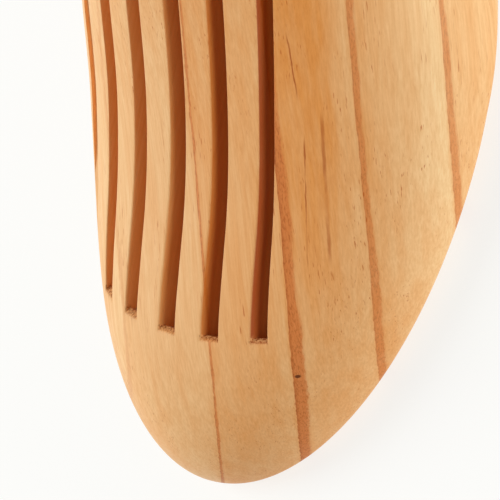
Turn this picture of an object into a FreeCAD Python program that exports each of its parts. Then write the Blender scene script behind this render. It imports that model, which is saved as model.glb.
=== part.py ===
import FreeCAD, Part
import math
import os

# Sprung shoe stretcher for a left shoe: a pine toe block with vent slots hinges on a
# telescopic tube, and the spring in the tube pushes a pine heel block away from it.
# Millimetres. +X runs to the toe, +Y to the little toe's side and +Z up.
# The origin is on the flat sole below the ball of the foot, on the line of the tube.

# Toe block: stations are distances from the toe tip, half widths are from the ridge line
TOE_LENGTH = 138.0
BALL_STATION = 73.0
RIDGE_OFFSET = 4.2
BIG_TOE_HALF_WIDTH = 45.2
BIG_TOE_NOSE = 112.0
LITTLE_TOE_HALF_WIDTH = 46.0
LITTLE_TOE_NOSE = 68.5
OUTLINE_POWER = 1.87
REAR_HALF_WIDTH = 33.5
FEATHER_LEVEL = 4.1
CROWN_RISE = 21.6
CROWN_NOSE = 41.0
INSTEP_RISE = 31.7
INSTEP_START = 29.6
INSTEP_RUN = 116.6
SOLE_DROP = 7.8
SOLE_NOSE = 45.0
REAR_EASE = 2.5

# Vent slots: their toe ends lie on a shallow arc, their floors keep one depth below the ridge
SLOT_COUNT = 6
SLOT_PITCH = 9.47
SLOT_WIDTH = 4.2
SLOT_DEPTH = 10.0
SLOT_FRONT = 23.0
SLOT_FRONT_RADIUS = 67.0
SLOT_FRONT_OFFSET = 10.2
SLOT_REAR = 104.0

# Hinge between the toe block and the tube
TUBE_HEIGHT = 30.0
PIVOT_INSET = 15.0
PIVOT_PIN_DIAMETER = 6.0
PIVOT_PIN_LENGTH = 40.0
TONGUE_THICKNESS = 6.0
TONGUE_HEIGHT = 14.0
PIVOT_WASHER_DIAMETER = 13.0
PIVOT_WASHER_THICKNESS = 1.0
SWING_DEGREES = 25.0
SWING_ROOM = 8.0
SHOULDER_DIAMETER = 16.0
SHOULDER_THICKNESS = 2.0
SPIGOT_LENGTH = 18.0
TONGUE_PIN_DIAMETER = 3.0
TONGUE_PIN_WALL = 0.6
TONGUE_PIN_SETBACK = 5.0

# Telescopic tube and spring
TRAVEL = 30.0
STOP_ROOM = 1.0
INNER_TUBE_DIAMETER = 14.0
INNER_TUBE_WALL = 1.0
BUSH_WALL = 1.0
OUTER_TUBE_WALL = 1.0
TUBE_REACH = 26.0
BUSH_SPACING = 2.0
REAR_BUSH_LENGTH = 12.0
REAR_BUSH_LIP = 1.5
FRONT_BUSH_LENGTH = 14.0
FRONT_BUSH_FLANGE = 3.0
FRONT_BUSH_BRIM = 1.0
COLLAR_WALL = 4.0
COLLAR_LENGTH = 12.0
COLLAR_SETBACK = 1.0
COLLAR_CHAMFER = 0.8
STOP_SCREW_DIAMETER = 4.0
STOP_TIP_DIAMETER = 3.0
STOP_TIP_ENTRY = 0.7
END_PLUG_LENGTH = 14.0
ROD_SEAT = 10.0
ROD_ROOM = 0.5
SPRING_WIRE = 1.2
SPRING_ROOM = 0.5
SPRING_COILS = 16

# Heel block: stations are distances from its back
HEEL_LENGTH = 70.0
HEEL_HALF_WIDTH = 30.0
HEEL_NOSE = 42.0
HEEL_TAPER_START = 40.0
HEEL_FRONT_HALF_WIDTH = 26.0
HEEL_LEVEL = 20.0
HEEL_DROP = 36.0
HEEL_CROWN = 34.0
HEEL_HEIGHT = 60.0
HEEL_TOP_SHAVING = 2.0
HEEL_BACK_WALL = 15.0

# Heel fittings
FERRULE_RIM = 8.0
FERRULE_THICKNESS = 2.5
WOOD_SCREW_DIAMETER = 3.0
WOOD_SCREW_HEAD = 6.0
WOOD_SCREW_LENGTH = 15.0
TUBE_SCREW_DIAMETER = 4.0
TUBE_SCREW_HEAD = 8.0
TUBE_SCREW_RECESS = 1.0
TUBE_SCREW_GRIP = 4.0
DRIVE_SLOT_WIDTH = 0.8
DRIVE_SLOT_DEPTH = 0.8
KNOB_STATION = 30.0
KNOB_DIAMETER = 22.0
KNOB_BASE_DIAMETER = 17.0
KNOB_BASE_HEIGHT = 2.0
KNOB_NECK_DIAMETER = 12.0
KNOB_WASHER_DIAMETER = 20.0
KNOB_WASHER_THICKNESS = 1.5
STUD_DIAMETER = 6.0
STUD_ENTRY = 14.0
STUD_FLOOR = 7.0

# Clearances: a seat is a fixed fit, a run is a turning or sliding one, play is beside a flat
SEAT_FIT = 0.04
RUN_FIT = 0.06
SIDE_PLAY = 0.1

# Modelling
STATION_COUNT = 20
SLOT_FLOOR_POINTS = 12
OVERCUT = 5.0
FIND_WITHIN = 0.05
QUARTER_ELLIPSE = 4.0 / 3.0 * (math.sqrt(2.0) - 1.0)

# The outer tube is as long as the heel block asks for, or as the travel does where that is more
HEEL_TUBE_LENGTH = TUBE_REACH + HEEL_LENGTH - HEEL_BACK_WALL
GUIDE_LENGTH = FRONT_BUSH_LENGTH + BUSH_SPACING + REAR_BUSH_LENGTH + REAR_BUSH_LIP
TRAVEL_TUBE_LENGTH = GUIDE_LENGTH + STOP_ROOM + TRAVEL + END_PLUG_LENGTH
OUTER_TUBE_LENGTH = max(HEEL_TUBE_LENGTH, TRAVEL_TUBE_LENGTH)

# Places along the tube, from the toe to the heel
TOE_REAR_X = BALL_STATION - TOE_LENGTH
PIVOT_X = TOE_REAR_X + PIVOT_INSET
SHOULDER_X = TOE_REAR_X - SWING_ROOM
INNER_FRONT_X = SHOULDER_X - SHOULDER_THICKNESS
SPIGOT_END_X = INNER_FRONT_X - SPIGOT_LENGTH
FLANGE_FRONT_X = INNER_FRONT_X - TRAVEL - STOP_ROOM
OUTER_FRONT_X = FLANGE_FRONT_X - FRONT_BUSH_FLANGE
COLLAR_FRONT_X = OUTER_FRONT_X - COLLAR_SETBACK
STOP_SCREW_X = COLLAR_FRONT_X - COLLAR_LENGTH / 2
OUTER_REAR_X = OUTER_FRONT_X - OUTER_TUBE_LENGTH
HEEL_BACK_X = OUTER_REAR_X - HEEL_BACK_WALL
HEEL_FRONT_X = HEEL_BACK_X + HEEL_LENGTH
END_PLUG_FACE_X = OUTER_REAR_X + END_PLUG_LENGTH
INNER_REAR_X = END_PLUG_FACE_X + TRAVEL + STOP_ROOM + REAR_BUSH_LIP
TUBE_SCREW_X = OUTER_REAR_X + END_PLUG_LENGTH / 2
KNOB_X = HEEL_BACK_X + KNOB_STATION

# Radii that follow from the sizes above
INNER_RADIUS = INNER_TUBE_DIAMETER / 2
INNER_BORE_RADIUS = INNER_RADIUS - INNER_TUBE_WALL
OUTER_BORE_RADIUS = INNER_RADIUS + BUSH_WALL
OUTER_RADIUS = OUTER_BORE_RADIUS + OUTER_TUBE_WALL
COLLAR_RADIUS = OUTER_RADIUS + COLLAR_WALL
SPRING_RADIUS = INNER_BORE_RADIUS - SPRING_ROOM - SPRING_WIRE / 2
ROD_RADIUS = SPRING_RADIUS - SPRING_WIRE / 2 - ROD_ROOM
FERRULE_RADIUS = OUTER_RADIUS + FERRULE_RIM
SCREW_CIRCLE_RADIUS = OUTER_RADIUS + FERRULE_RIM / 2
MORTISE_HALF_WIDTH = TONGUE_THICKNESS / 2 + PIVOT_WASHER_THICKNESS + 2 * SIDE_PLAY
STUD_BOTTOM = TUBE_HEIGHT + OUTER_RADIUS + STUD_FLOOR
V = FreeCAD.Vector
ALONG_X = V(1, 0, 0)
ALONG_Y = V(0, 1, 0)
ALONG_Z = V(0, 0, 1)


def nose(share, power):
    """Rounded rise from 0 at the tip to 1 where share reaches 1."""
    return math.sqrt(1.0 - (1.0 - min(share, 1.0)) ** power)


def ease(share):
    """Smooth step from 0 to 1."""
    share = min(max(share, 0.0), 1.0)
    return share * share * (3.0 - 2.0 * share)


def rod(radius, start, end):
    """Cylinder between two points."""
    return Part.makeCylinder(radius, (end - start).Length, start, end - start)


def axial_rod(radius, x_from, x_to):
    """Cylinder on the tube's line."""
    return rod(radius, V(x_from, 0, TUBE_HEIGHT), V(x_to, 0, TUBE_HEIGHT))


def cross_rod(radius, x, y_from, y_to):
    """Cylinder across the tube's line."""
    return rod(radius, V(x, y_from, TUBE_HEIGHT), V(x, y_to, TUBE_HEIGHT))


def upright_rod(radius, x, z_from, z_to):
    """Upright cylinder in the middle plane."""
    return rod(radius, V(x, 0, z_from), V(x, 0, z_to))


def box(low, high):
    """Box between two corners."""
    size = high - low
    return Part.makeBox(size.x, size.y, size.z, low)


def section(centre, plus_y, up, minus_y, down):
    """Closed wire of four quarter ellipses about a centre, square to X."""
    arms = [ALONG_Y * plus_y, ALONG_Z * up, ALONG_Y * -minus_y, ALONG_Z * -down]
    edges = []
    for arm, following in zip(arms, arms[1:] + arms[:1]):
        curve = Part.BezierCurve()
        curve.setPoles([
            centre + arm,
            centre + arm + following * QUARTER_ELLIPSE,
            centre + following + arm * QUARTER_ELLIPSE,
            centre + following,
        ])
        edges.append(curve.toShape())
    return Part.Wire(edges)


def block_body(tip, direction, length, reach):
    """Loft from a blunt tip through sections whose reach is a function of the station."""
    sections = []
    for step in range(STATION_COUNT, 0, -1):
        station = length * (step / STATION_COUNT) ** 2
        sections.append(section(tip + direction * station, *reach(station)))
    sections.append(Part.Vertex(tip))
    return Part.makeLoft(sections, True, False)


def keep_above_sole(body):
    """Saw the underside flat on the plane that the object stands on."""
    bounds = body.BoundBox
    low = V(bounds.XMin - OVERCUT, bounds.YMin - OVERCUT, 0)
    high = V(bounds.XMax + OVERCUT, bounds.YMax + OVERCUT, bounds.ZMax + OVERCUT)
    return body.common(box(low, high))


def ease_end(body, x):
    """Round the edges of the flat end at x, apart from the one on the sole."""
    edges = []
    for edge in body.Edges:
        bounds = edge.BoundBox
        on_end = abs(bounds.XMin - x) < FIND_WITHIN and abs(bounds.XMax - x) < FIND_WITHIN
        if on_end and bounds.ZMax > FIND_WITHIN:
            edges.append(edge)
    return body.makeFillet(REAR_EASE, edges)


def ridge_height(station):
    """Height of the toe block's ridge."""
    crown = CROWN_RISE * nose(station / CROWN_NOSE, 2.0)
    instep = INSTEP_RISE * ease((station - INSTEP_START) / INSTEP_RUN)
    return FEATHER_LEVEL + crown + instep


def toe_reach(station):
    """Reach of the toe block's section to the little toe's side, up, the other side and down."""
    waist = ease((station - BALL_STATION) / (TOE_LENGTH - BALL_STATION))
    little_toe = LITTLE_TOE_HALF_WIDTH * nose(station / LITTLE_TOE_NOSE, OUTLINE_POWER)
    big_toe = BIG_TOE_HALF_WIDTH * nose(station / BIG_TOE_NOSE, OUTLINE_POWER)
    little_toe += waist * (REAR_HALF_WIDTH - RIDGE_OFFSET - little_toe)
    big_toe += waist * (REAR_HALF_WIDTH + RIDGE_OFFSET - big_toe)
    up = ridge_height(station) - FEATHER_LEVEL
    down = SOLE_DROP * nose(station / SOLE_NOSE, 2.0)
    return little_toe, up, big_toe, down


def toe_body():
    """Toe block before its slots, mortise and pin hole are cut."""
    tip = V(BALL_STATION, RIDGE_OFFSET, FEATHER_LEVEL)
    return ease_end(keep_above_sole(block_body(tip, -ALONG_X, TOE_LENGTH, toe_reach)), TOE_REAR_X)


def vent_slot(y):
    """Cutter for one vent slot at y."""
    front = SLOT_FRONT + (y - SLOT_FRONT_OFFSET) ** 2 / (2 * SLOT_FRONT_RADIUS)
    floor = []
    for step in range(SLOT_FLOOR_POINTS + 1):
        station = front + (SLOT_REAR - front) * step / SLOT_FLOOR_POINTS
        height = ridge_height(station) - SLOT_DEPTH
        floor.append(V(BALL_STATION - station, y - SLOT_WIDTH / 2, height))
    curve = Part.BSplineCurve()
    curve.interpolate(floor)
    rise = V(0, 0, ridge_height(SLOT_REAR) + OVERCUT)
    front_top = V(floor[0].x, floor[0].y, 0) + rise
    rear_top = V(floor[-1].x, floor[-1].y, 0) + rise
    sides = Part.makePolygon([floor[-1], rear_top, front_top, floor[0]])
    profile = Part.Wire([curve.toShape()] + sides.Edges)
    return Part.Face(profile).extrude(ALONG_Y * SLOT_WIDTH)


def mortise():
    """Pocket in the toe block's rear: its floor and roof stop the tongue's swing."""
    swing = math.radians(SWING_DEGREES)
    floor = TUBE_HEIGHT - TONGUE_HEIGHT / 2 - SIDE_PLAY
    roof = TUBE_HEIGHT + PIVOT_INSET * math.tan(swing) + TONGUE_HEIGHT / 2 / math.cos(swing) + SIDE_PLAY
    inner_end = PIVOT_X + TONGUE_HEIGHT / 2 + STOP_ROOM
    low = V(TOE_REAR_X - OVERCUT, -MORTISE_HALF_WIDTH, floor)
    return box(low, V(inner_end, MORTISE_HALF_WIDTH, roof))


def toe_block(body):
    """Pine toe block with its vent slots, hinge mortise and pin hole."""
    slots = []
    for index in range(SLOT_COUNT):
        slots.append(vent_slot((index - (SLOT_COUNT - 1) / 2) * SLOT_PITCH))
    span = body.BoundBox.YLength
    pin_hole = cross_rod(PIVOT_PIN_DIAMETER / 2 + SEAT_FIT, PIVOT_X, -span, span)
    return body.cut(slots + [mortise(), pin_hole])


def pivot_pin():
    """Steel cross pin."""
    return cross_rod(PIVOT_PIN_DIAMETER / 2, PIVOT_X, -PIVOT_PIN_LENGTH / 2, PIVOT_PIN_LENGTH / 2)


def pin_plug(body, side):
    """Dowel that closes the pin's hole, cut flush with the toe block; side is +1 or -1."""
    start = side * (PIVOT_PIN_LENGTH / 2 + SIDE_PLAY)
    dowel = cross_rod(PIVOT_PIN_DIAMETER / 2, PIVOT_X, start, side * body.BoundBox.YLength)
    return dowel.common(body)


def pivot_washers():
    """Two nylon washers that keep the tongue off the mortise's cheeks."""
    washers = []
    for side in (-1, 1):
        near = side * (TONGUE_THICKNESS / 2 + SIDE_PLAY)
        far = near + side * PIVOT_WASHER_THICKNESS
        disc = cross_rod(PIVOT_WASHER_DIAMETER / 2, PIVOT_X, near, far)
        bore = cross_rod(PIVOT_PIN_DIAMETER / 2 + SEAT_FIT, PIVOT_X, near, far)
        washers.append(disc.cut(bore))
    return Part.makeCompound(washers)


def tongue():
    """Eye, flat lug, shoulder and the spigot that enters the inner tube."""
    half_thickness = TONGUE_THICKNESS / 2
    half_height = TONGUE_HEIGHT / 2
    eye = cross_rod(half_height, PIVOT_X, -half_thickness, half_thickness)
    lug_low = V(SHOULDER_X, -half_thickness, TUBE_HEIGHT - half_height)
    lug = box(lug_low, V(PIVOT_X, half_thickness, TUBE_HEIGHT + half_height))
    shoulder = axial_rod(SHOULDER_DIAMETER / 2, SHOULDER_X, INNER_FRONT_X)
    spigot = axial_rod(INNER_BORE_RADIUS - SEAT_FIT, SHOULDER_X, SPIGOT_END_X)
    bore = cross_rod(PIVOT_PIN_DIAMETER / 2 + RUN_FIT, PIVOT_X, -TONGUE_THICKNESS, TONGUE_THICKNESS)
    solid = eye.fuse([lug, shoulder, spigot]).removeSplitter()
    return solid.cut([bore, tongue_pin_hole()])


def tongue_pin_hole():
    """Cross hole through the inner tube and the spigot."""
    x = INNER_FRONT_X - TONGUE_PIN_SETBACK
    return cross_rod(TONGUE_PIN_DIAMETER / 2 + SEAT_FIT, x, -INNER_TUBE_DIAMETER, INNER_TUBE_DIAMETER)


def tongue_pin():
    """Rolled spring pin, a tube with a slit along its rear side, whose rims stay below the inner tube's skin."""
    x = INNER_FRONT_X - TONGUE_PIN_SETBACK
    radius = TONGUE_PIN_DIAMETER / 2
    reach = math.sqrt(INNER_RADIUS ** 2 - radius ** 2) - SIDE_PLAY
    roll = cross_rod(radius, x, -reach, reach)
    bore = cross_rod(radius - TONGUE_PIN_WALL, x, -reach, reach)
    slit_low = V(x - radius, -reach, TUBE_HEIGHT - TONGUE_PIN_WALL / 2)
    slit = box(slit_low, V(x, reach, TUBE_HEIGHT + TONGUE_PIN_WALL / 2))
    return roll.cut([bore, slit])


def tube(outer_radius, bore_radius, x_from, x_to):
    """Plain tube on the tube's line."""
    return axial_rod(outer_radius, x_from, x_to).cut(axial_rod(bore_radius, x_from, x_to))


def stop_slot():
    """Slot in the top of the inner tube that the stop screw's tip runs in."""
    half_width = STOP_TIP_DIAMETER / 2 + SIDE_PLAY
    top = TUBE_HEIGHT + INNER_TUBE_DIAMETER
    ends = []
    for x in (STOP_SCREW_X, STOP_SCREW_X + TRAVEL):
        ends.append(upright_rod(half_width, x, TUBE_HEIGHT, top))
    low = V(STOP_SCREW_X, -half_width, TUBE_HEIGHT)
    return ends[0].fuse([ends[1], box(low, V(STOP_SCREW_X + TRAVEL, half_width, top))])


def inner_tube():
    """Tube on the tongue's spigot, with the stop slot and the pin's hole."""
    wall = tube(INNER_RADIUS, INNER_BORE_RADIUS, INNER_FRONT_X, INNER_REAR_X)
    return wall.cut([stop_slot(), tongue_pin_hole()])


def rear_bush():
    """Nylon guide on the inner tube's rear end, with a lip over the end."""
    front = INNER_REAR_X + REAR_BUSH_LENGTH
    lip = INNER_REAR_X - REAR_BUSH_LIP
    sleeve = tube(OUTER_BORE_RADIUS - RUN_FIT, INNER_RADIUS + SEAT_FIT, front, INNER_REAR_X)
    return sleeve.fuse(tube(OUTER_BORE_RADIUS - RUN_FIT, INNER_BORE_RADIUS, INNER_REAR_X, lip)).removeSplitter()


def front_bush():
    """Nylon guide in the mouth of the outer tube, with a flange over its end."""
    rear = OUTER_FRONT_X - FRONT_BUSH_LENGTH
    bore = INNER_RADIUS + RUN_FIT
    sleeve = tube(OUTER_BORE_RADIUS - SEAT_FIT, bore, FLANGE_FRONT_X, rear)
    flange = tube(OUTER_RADIUS + FRONT_BUSH_BRIM, bore, FLANGE_FRONT_X, OUTER_FRONT_X)
    return sleeve.fuse(flange).removeSplitter().cut(stop_screw_hole())


def stop_screw_hole():
    """Radial hole through the collar, the outer tube and the front bush."""
    radius = STOP_SCREW_DIAMETER / 2 + SEAT_FIT
    return upright_rod(radius, STOP_SCREW_X, TUBE_HEIGHT, TUBE_HEIGHT + COLLAR_RADIUS + OVERCUT)


def outer_tube():
    """Tube that the heel block sits on, with the holes for its two screws."""
    wall = tube(OUTER_RADIUS, OUTER_BORE_RADIUS, OUTER_FRONT_X, OUTER_REAR_X)
    return wall.cut([stop_screw_hole(), tube_screw_hole()])


def collar():
    """Ring on the outer tube that holds the stop screw."""
    rear = COLLAR_FRONT_X - COLLAR_LENGTH
    ring = axial_rod(COLLAR_RADIUS, rear, COLLAR_FRONT_X)
    rims = []
    for edge in ring.Edges:
        if edge.BoundBox.XLength < FIND_WITHIN:
            rims.append(edge)
    bore = axial_rod(OUTER_RADIUS + SEAT_FIT, rear, COLLAR_FRONT_X)
    return ring.makeChamfer(COLLAR_CHAMFER, rims).cut([bore, stop_screw_hole()])


def drive_slot(centre, along, width, radius, depth_vector):
    """Cutter for a screwdriver slot across a head."""
    reach = along * radius
    across = along.cross(depth_vector).normalize() * (width / 2)
    corners = [centre - reach - across, centre + reach - across, centre + reach + across, centre - reach + across]
    return Part.Face(Part.makePolygon(corners + corners[:1])).extrude(depth_vector)


def stop_screw():
    """Grub screw, sunk in the collar, whose thin tip runs in the inner tube's slot."""
    top = TUBE_HEIGHT + COLLAR_RADIUS - SIDE_PLAY
    shank_end = TUBE_HEIGHT + INNER_RADIUS + SIDE_PLAY
    tip_end = TUBE_HEIGHT + INNER_RADIUS - STOP_TIP_ENTRY
    shank = upright_rod(STOP_SCREW_DIAMETER / 2, STOP_SCREW_X, shank_end, top)
    tip = upright_rod(STOP_TIP_DIAMETER / 2, STOP_SCREW_X, tip_end, shank_end)
    centre = V(STOP_SCREW_X, 0, top)
    slot = drive_slot(centre, ALONG_Y, DRIVE_SLOT_WIDTH, STOP_SCREW_DIAMETER, ALONG_Z * -DRIVE_SLOT_DEPTH)
    return shank.fuse(tip).removeSplitter().cut(slot)


def end_plug():
    """Plug in the outer tube's rear end: the spring's seat and the guide rod's socket."""
    plug = axial_rod(OUTER_BORE_RADIUS - SEAT_FIT, OUTER_REAR_X, END_PLUG_FACE_X)
    socket = axial_rod(ROD_RADIUS + SEAT_FIT, END_PLUG_FACE_X - ROD_SEAT, END_PLUG_FACE_X)
    return plug.cut([socket, tube_screw_hole()])


def guide_rod():
    """Rod inside the spring, short of the spigot when the tube is pushed in."""
    front = SPIGOT_END_X - TRAVEL - STOP_ROOM
    return axial_rod(ROD_RADIUS, END_PLUG_FACE_X - ROD_SEAT, front)


def arc_edge(start, control, end):
    """Arc that leaves start towards control and reaches end along the line from control."""
    middle = (start + end) * 0.5
    half_chord = (end - start).Length / 2
    bow = control - middle
    sagitta = half_chord * math.tan(math.atan2(bow.Length, half_chord) / 2)
    return Part.Arc(start, middle + bow.normalize() * sagitta, end).toShape()


def biarc(start, start_way, end, end_way):
    """Two tangent arcs between two points with given directions."""
    chord = end - start
    ways = start_way + end_way
    spread = 2 * (1 - start_way.dot(end_way))
    along = chord.dot(ways)
    leg = (math.sqrt(along ** 2 + spread * chord.dot(chord)) - along) / spread
    first = start + start_way * leg
    last = end - end_way * leg
    joint = (first + last) * 0.5
    return [arc_edge(start, first, joint), arc_edge(joint, last, end)]


def spring():
    """Compression spring: a helix of half turns whose ends stand square on their seats."""
    front = SPIGOT_END_X - SIDE_PLAY
    rear = END_PLUG_FACE_X + SIDE_PLAY
    lead_in = 2 * SPRING_WIRE
    helix_front = front - SPRING_WIRE - lead_in
    helix_rear = rear + SPRING_WIRE + lead_in
    half_turns = 2 * SPRING_COILS
    step = (helix_rear - helix_front) / half_turns

    def point(turn):
        angle = math.pi * turn
        x = helix_front + step * turn
        return V(x, SPRING_RADIUS * math.cos(angle), TUBE_HEIGHT + SPRING_RADIUS * math.sin(angle))

    def way(turn):
        angle = math.pi * turn
        sweep = math.pi * SPRING_RADIUS
        return V(step, -sweep * math.sin(angle), sweep * math.cos(angle)).normalize()

    def end_point(turn, x):
        on_helix = point(turn)
        return V(x, on_helix.y, on_helix.z)

    lead_turn = 0.5
    first = end_point(-lead_turn, front)
    first_bend = end_point(-lead_turn, front - SPRING_WIRE)
    last = end_point(half_turns + lead_turn, rear)
    last_bend = end_point(half_turns + lead_turn, rear + SPRING_WIRE)
    edges = [Part.LineSegment(first, first_bend).toShape()]
    edges += biarc(first_bend, -ALONG_X, point(0), way(0))
    for turn in range(half_turns):
        edges += biarc(point(turn), way(turn), point(turn + 1), way(turn + 1))
    edges += biarc(point(half_turns), way(half_turns), last_bend, -ALONG_X)
    edges.append(Part.LineSegment(last_bend, last).toShape())
    path = Part.Wire(edges)
    print_self_gap(path, 2 * math.pi * SPRING_RADIUS)
    wire_end = Part.Wire(Part.makeCircle(SPRING_WIRE / 2, first, ALONG_X))
    return path.makePipeShell([wire_end], True, False)


def print_self_gap(path, turn_length):
    """Measure on points the least gap between stretches more than half a turn apart."""
    count = int(path.Length / SPRING_WIRE * 2)
    points = path.discretize(Number=count)
    skip = int(turn_length / 2 / (path.Length / count))
    least = path.Length
    for index, point in enumerate(points):
        for other in points[index + skip:index + 4 * skip]:
            least = min(least, (point - other).Length)
    print("spring: least gap to itself", round(least - SPRING_WIRE, 2), "mm")


def heel_reach(station):
    """Reach of the heel block's section to both sides, up and down."""
    taper = ease((station - HEEL_TAPER_START) / (HEEL_LENGTH - HEEL_TAPER_START))
    side = HEEL_HALF_WIDTH * nose(station / HEEL_NOSE, 2.0)
    side += taper * (HEEL_FRONT_HALF_WIDTH - side)
    swell = nose(station / HEEL_CROWN, 2.0)
    rise = HEEL_HEIGHT + HEEL_TOP_SHAVING - HEEL_LEVEL
    return side, rise * swell, side, HEEL_DROP * swell


def heel_block():
    """Pine heel block, flat below and on top, with the tube's bore and the screw holes."""
    back = V(HEEL_BACK_X, 0, HEEL_LEVEL)
    body = ease_end(keep_above_sole(block_body(back, ALONG_X, HEEL_LENGTH, heel_reach)), HEEL_FRONT_X)
    bounds = body.BoundBox
    above_low = V(bounds.XMin - OVERCUT, bounds.YMin - OVERCUT, HEEL_HEIGHT)
    above = box(above_low, V(bounds.XMax + OVERCUT, bounds.YMax + OVERCUT, bounds.ZMax + OVERCUT))
    bore = axial_rod(OUTER_RADIUS + SEAT_FIT, OUTER_REAR_X, HEEL_FRONT_X + OVERCUT)
    stud_hole = upright_rod(STUD_DIAMETER / 2 + SEAT_FIT, KNOB_X, STUD_BOTTOM, HEEL_HEIGHT + OVERCUT)
    return body.cut([above, bore, stud_hole, tube_screw_hole()] + screw_holes())


def ferrule():
    """Flange round the tube on the heel block's front face."""
    front = HEEL_FRONT_X + FERRULE_THICKNESS
    plate = tube(FERRULE_RADIUS, OUTER_RADIUS + SEAT_FIT, HEEL_FRONT_X, front)
    return plate.cut(screw_holes())


def wood_screw(side, fit):
    """Countersunk wood screw through the ferrule, grown by fit where it cuts its own hole."""
    front = HEEL_FRONT_X + FERRULE_THICKNESS
    y = side * SCREW_CIRCLE_RADIUS
    head_radius = WOOD_SCREW_HEAD / 2 + fit
    shank_radius = WOOD_SCREW_DIAMETER / 2 + fit
    head_depth = (WOOD_SCREW_HEAD - WOOD_SCREW_DIAMETER) / 2
    face = V(front, y, TUBE_HEIGHT)
    shank_length = WOOD_SCREW_LENGTH - WOOD_SCREW_DIAMETER
    head = Part.makeCone(head_radius, shank_radius, head_depth, face, -ALONG_X)
    shank = Part.makeCylinder(shank_radius, shank_length, face, -ALONG_X)
    point_face = face - ALONG_X * shank_length
    point = Part.makeCone(shank_radius, 0, WOOD_SCREW_DIAMETER + fit, point_face, -ALONG_X)
    return head.fuse([shank, point]).removeSplitter()


def screw_holes():
    """Holes for the two wood screws."""
    return [wood_screw(side, SEAT_FIT) for side in (-1, 1)]


def ferrule_screws():
    """Two wood screws with their driver slots."""
    screws = []
    for side in (-1, 1):
        face = V(HEEL_FRONT_X + FERRULE_THICKNESS, side * SCREW_CIRCLE_RADIUS, TUBE_HEIGHT)
        slot = drive_slot(face, ALONG_Y, DRIVE_SLOT_WIDTH, WOOD_SCREW_HEAD, ALONG_X * -DRIVE_SLOT_DEPTH)
        screws.append(wood_screw(side, 0).cut(slot))
    return Part.makeCompound(screws)


def tube_screw_body(fit):
    """Countersunk screw from the sole into the end plug, grown by fit where it cuts its own hole."""
    head_radius = TUBE_SCREW_HEAD / 2 + fit
    shank_radius = TUBE_SCREW_DIAMETER / 2 + fit
    head_depth = (TUBE_SCREW_HEAD - TUBE_SCREW_DIAMETER) / 2
    face = V(TUBE_SCREW_X, 0, TUBE_SCREW_RECESS)
    head = Part.makeCone(head_radius, shank_radius, head_depth, face, ALONG_Z)
    shank_end = tube_screw_end() + fit
    return head.fuse(upright_rod(shank_radius, TUBE_SCREW_X, TUBE_SCREW_RECESS, shank_end)).removeSplitter()


def tube_screw_end():
    """Height of the tube screw's end inside the end plug."""
    return TUBE_HEIGHT - OUTER_BORE_RADIUS + TUBE_SCREW_GRIP


def tube_screw_hole():
    """Countersunk hole for the tube screw, open to the sole."""
    entry = upright_rod(TUBE_SCREW_HEAD / 2 + SEAT_FIT, TUBE_SCREW_X, -OVERCUT, TUBE_SCREW_RECESS)
    return tube_screw_body(SEAT_FIT).fuse(entry).removeSplitter()


def tube_screw():
    """Screw that holds the heel block, the outer tube and the end plug together."""
    face = V(TUBE_SCREW_X, 0, TUBE_SCREW_RECESS)
    slot = drive_slot(face, ALONG_Y, DRIVE_SLOT_WIDTH, TUBE_SCREW_HEAD, ALONG_Z * DRIVE_SLOT_DEPTH)
    return tube_screw_body(0).cut(slot)


def knob_washer():
    """Rosette between the heel block and the knob."""
    top = HEEL_HEIGHT + KNOB_WASHER_THICKNESS
    disc = upright_rod(KNOB_WASHER_DIAMETER / 2, KNOB_X, HEEL_HEIGHT, top)
    return disc.cut(upright_rod(STUD_DIAMETER / 2 + SEAT_FIT, KNOB_X, HEEL_HEIGHT, top))


def knob():
    """Turned knob: a foot, a hollow neck and a ball, on the stud."""
    base = HEEL_HEIGHT + KNOB_WASHER_THICKNESS
    ball = KNOB_DIAMETER / 2
    foot = KNOB_BASE_DIAMETER / 2
    neck = KNOB_NECK_DIAMETER / 2
    drop = math.sqrt(ball ** 2 - neck ** 2)
    neck_top = base + KNOB_BASE_HEIGHT + 2 * (foot - neck)
    centre = neck_top + drop

    def turned(radius, z):
        return V(KNOB_X + radius, 0, z)

    hollow = turned((foot + neck) / 2 - (foot - neck) / 4, (base + KNOB_BASE_HEIGHT + neck_top) / 2)
    edges = [
        Part.LineSegment(turned(0, base), turned(foot, base)).toShape(),
        Part.LineSegment(turned(foot, base), turned(foot, base + KNOB_BASE_HEIGHT)).toShape(),
        Part.Arc(turned(foot, base + KNOB_BASE_HEIGHT), hollow, turned(neck, neck_top)).toShape(),
        Part.Arc(turned(neck, neck_top), turned(ball, centre), turned(0, centre + ball)).toShape(),
        Part.LineSegment(turned(0, centre + ball), turned(0, base)).toShape(),
    ]
    solid = Part.Face(Part.Wire(edges)).revolve(turned(0, base), ALONG_Z, 360)
    return solid.cut(upright_rod(STUD_DIAMETER / 2 + SEAT_FIT, KNOB_X, base, base + STUD_ENTRY))


def knob_stud():
    """Stud that joins the knob to the heel block."""
    top = HEEL_HEIGHT + KNOB_WASHER_THICKNESS + STUD_ENTRY
    return upright_rod(STUD_DIAMETER / 2, KNOB_X, STUD_BOTTOM, top)


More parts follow.
